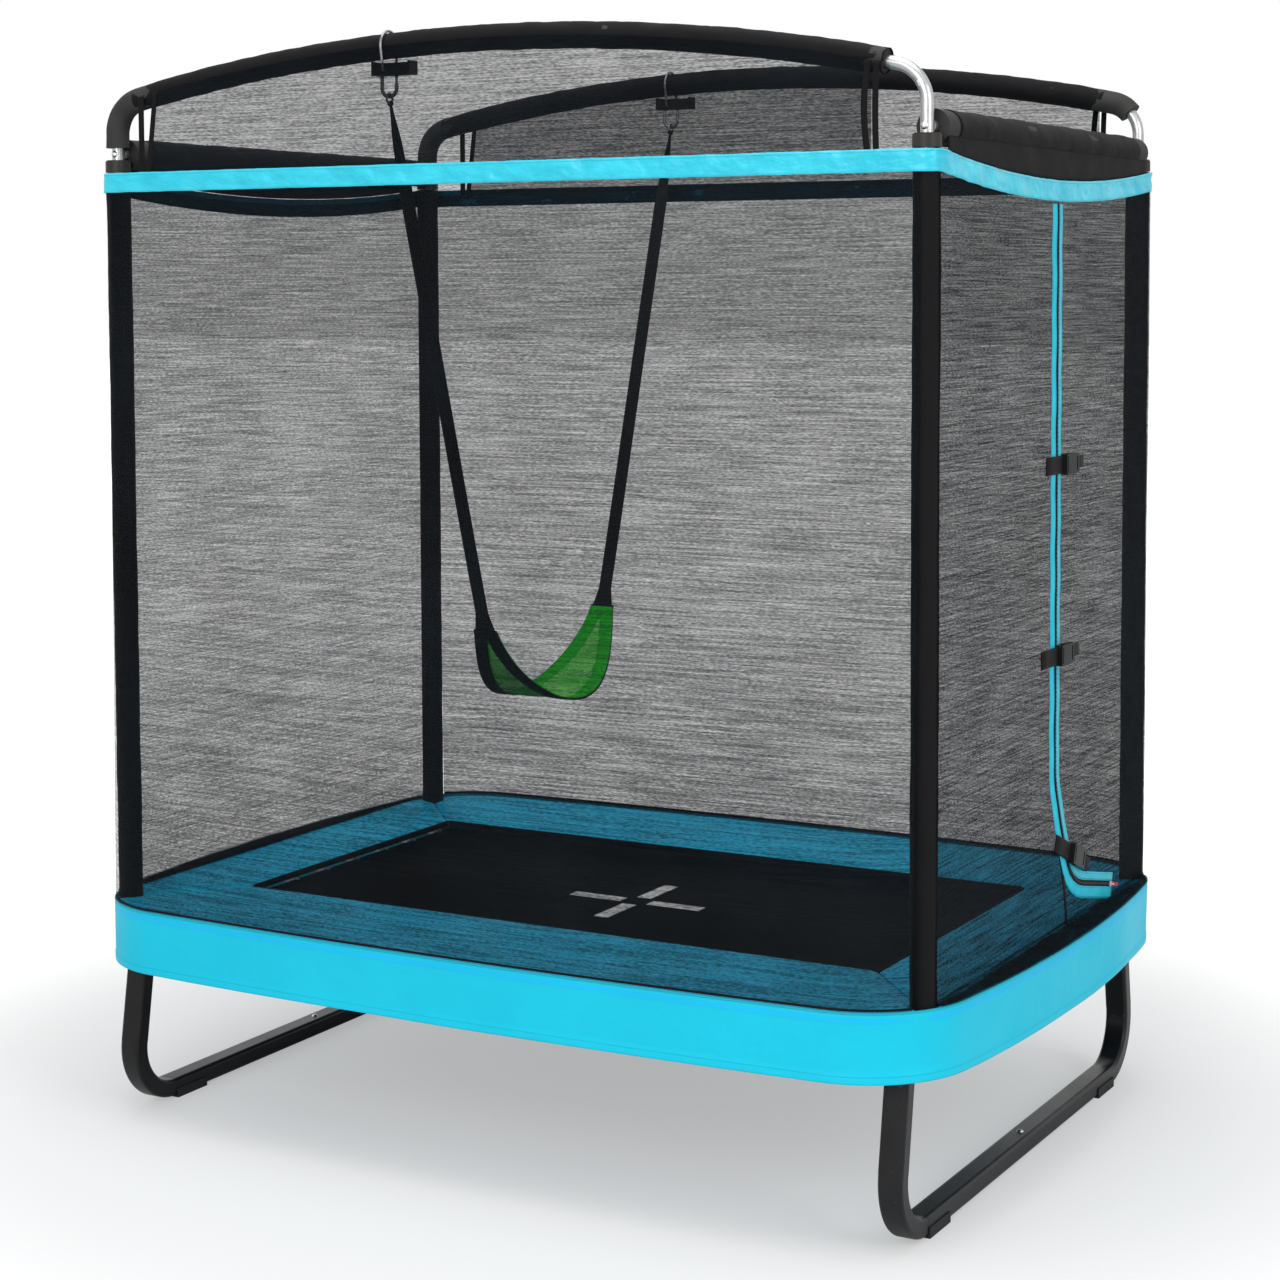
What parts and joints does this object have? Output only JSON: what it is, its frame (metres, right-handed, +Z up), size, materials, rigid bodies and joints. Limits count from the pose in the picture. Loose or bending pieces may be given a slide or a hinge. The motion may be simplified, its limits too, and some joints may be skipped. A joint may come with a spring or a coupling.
{
  "type": "enclosed rectangular trampoline",
  "caption": "Rectangular children's trampoline on low U-shaped legs, with a padded net enclosure, arched top bars, a zipped door and a sling swing.",
  "frame": {"origin": "on the floor under the centre of the trampoline", "axes": "+X along the long side, +Y from front to rear, +Z up"},
  "size_m": [1.83, 1.336, 2.0519],
  "materials": {
    "frame_paint": "semi-gloss black powder coat",
    "galvanised_steel": "bright galvanised",
    "zinc_fasteners": "zinc plated",
    "spring_steel": "zinc plated",
    "foot_plastic": "matte",
    "cap_plastic": "matte",
    "mat_cloth": "woven polypropylene",
    "mat_mark": "printed",
    "pad_cover": "coated cloth over foam",
    "skirt_cover": "coated cloth",
    "foam": "closed-cell foam",
    "sleeve_cloth": "woven polyester",
    "net_mesh": "open mesh",
    "band_cloth": "coated cloth",
    "zip_cloth": "woven tape",
    "zip_metal": "painted",
    "pull_plastic": "gloss",
    "buckle_plastic": "satin",
    "hook_steel": "dark plated",
    "webbing": "woven",
    "seat_cloth": "woven"
  },
  "bodies": {
    "trampoline": {"front_rail": "frame_paint", "rear_rail": "frame_paint", "left_frame_end": "frame_paint", "right_frame_end": "frame_paint", "leg_front_left": "frame_paint", "leg_rear_left": "frame_paint", "leg_front_right": "frame_paint", "leg_rear_right": "frame_paint", "foot_pads": "foot_plastic", "corner_bolts": "zinc_fasteners", "dome_bolts": "zinc_fasteners", "springs": "spring_steel", "pad_front": "pad_cover", "pad_rear": "pad_cover", "pad_left": "pad_cover", "pad_right": "pad_cover", "skirt": "skirt_cover", "post_front_left": "galvanised_steel", "post_front_right": "galvanised_steel", "post_rear_left": "galvanised_steel", "post_rear_right": "galvanised_steel", "post_foams": "foam", "post_sleeves": "sleeve_cloth", "post_caps": "cap_plastic", "elbow_front_left": "galvanised_steel", "elbow_front_right": "galvanised_steel", "elbow_rear_left": "galvanised_steel", "elbow_rear_right": "galvanised_steel", "arch_tube_front": "galvanised_steel", "arch_tube_rear": "galvanised_steel", "arch_foams": "foam", "arch_cover_front": "sleeve_cloth", "arch_cover_rear": "sleeve_cloth", "cross_bars": "galvanised_steel", "cross_bar_foams": "foam", "cross_bar_cover_left": "sleeve_cloth", "cross_bar_cover_right": "sleeve_cloth", "net_front": "net_mesh", "net_rear": "net_mesh", "net_left": "net_mesh", "net_right": "net_mesh", "top_band": "band_cloth", "zip_tapes": "zip_cloth", "buckle_sockets": "buckle_plastic", "hanger_rings": "zinc_fasteners", "hanger_saddles": "buckle_plastic"},
    "mat": {"jumping_mat": "mat_cloth", "mat_cross": "mat_mark", "mat_rings": "spring_steel"},
    "swing": {"carabiners": "hook_steel", "swing_links": "hook_steel", "swing_webbing": "webbing", "swing_seat": "seat_cloth"},
    "gate_front": {"gate_front": "hook_steel"},
    "gate_rear": {"gate_rear": "hook_steel"},
    "zip_slider": {"zip_slider": "zip_metal"},
    "zip_pull": {"zip_pull": "pull_plastic"},
    "clip_top": {"buckle_clip_top": "buckle_plastic"},
    "clip_middle": {"buckle_clip_middle": "buckle_plastic"},
    "clip_bottom": {"buckle_clip_bottom": "buckle_plastic"}
  },
  "joints": [
    {"name": "mat_bounce", "type": "slide", "parent": "trampoline", "child": "mat", "axis": [0, 0, -1], "range_m": [0, 0.1], "stiffness_N_per_m": 4000, "springref_m": -0.02, "deforming": ["springs"]},
    {"name": "swing_pivot", "type": "hinge", "parent": "trampoline", "child": "swing", "pos_m": [-0.205, 0, 1.97761], "axis": [0, 1, 0], "range_deg": [-40, 26]},
    {"name": "gate_front_hinge", "type": "hinge", "parent": "swing", "child": "gate_front", "pos_m": [-0.1895, -0.53308, 1.95241], "axis": [0, -1, 0], "range_deg": [0, 25], "stiffness_Nm_per_rad": 0.02, "springref_deg": -34.38},
    {"name": "gate_rear_hinge", "type": "hinge", "parent": "swing", "child": "gate_rear", "pos_m": [-0.1895, 0.53308, 1.95241], "axis": [0, -1, 0], "range_deg": [0, 25], "stiffness_Nm_per_rad": 0.02, "springref_deg": -34.38},
    {"name": "zip_slide", "type": "slide", "parent": "trampoline", "child": "zip_slider", "axis": [0, -0.9778, 0.2095], "range_m": [0, 0.2]},
    {"name": "pull_hinge", "type": "hinge", "parent": "zip_slider", "child": "zip_pull", "pos_m": [0.86401, 0.32627, 0.44351], "axis": [0, -0.2095, -0.9778], "range_deg": [0, 150]},
    {"name": "clip_top_slide", "type": "slide", "parent": "trampoline", "child": "clip_top", "axis": [0, 1, 0], "range_m": [0, 0.032]},
    {"name": "clip_middle_slide", "type": "slide", "parent": "trampoline", "child": "clip_middle", "axis": [0, 1, 0], "range_m": [0, 0.032]},
    {"name": "clip_bottom_slide", "type": "slide", "parent": "trampoline", "child": "clip_bottom", "axis": [0, 0.9272, -0.3746], "range_m": [0, 0.032]}
  ]
}
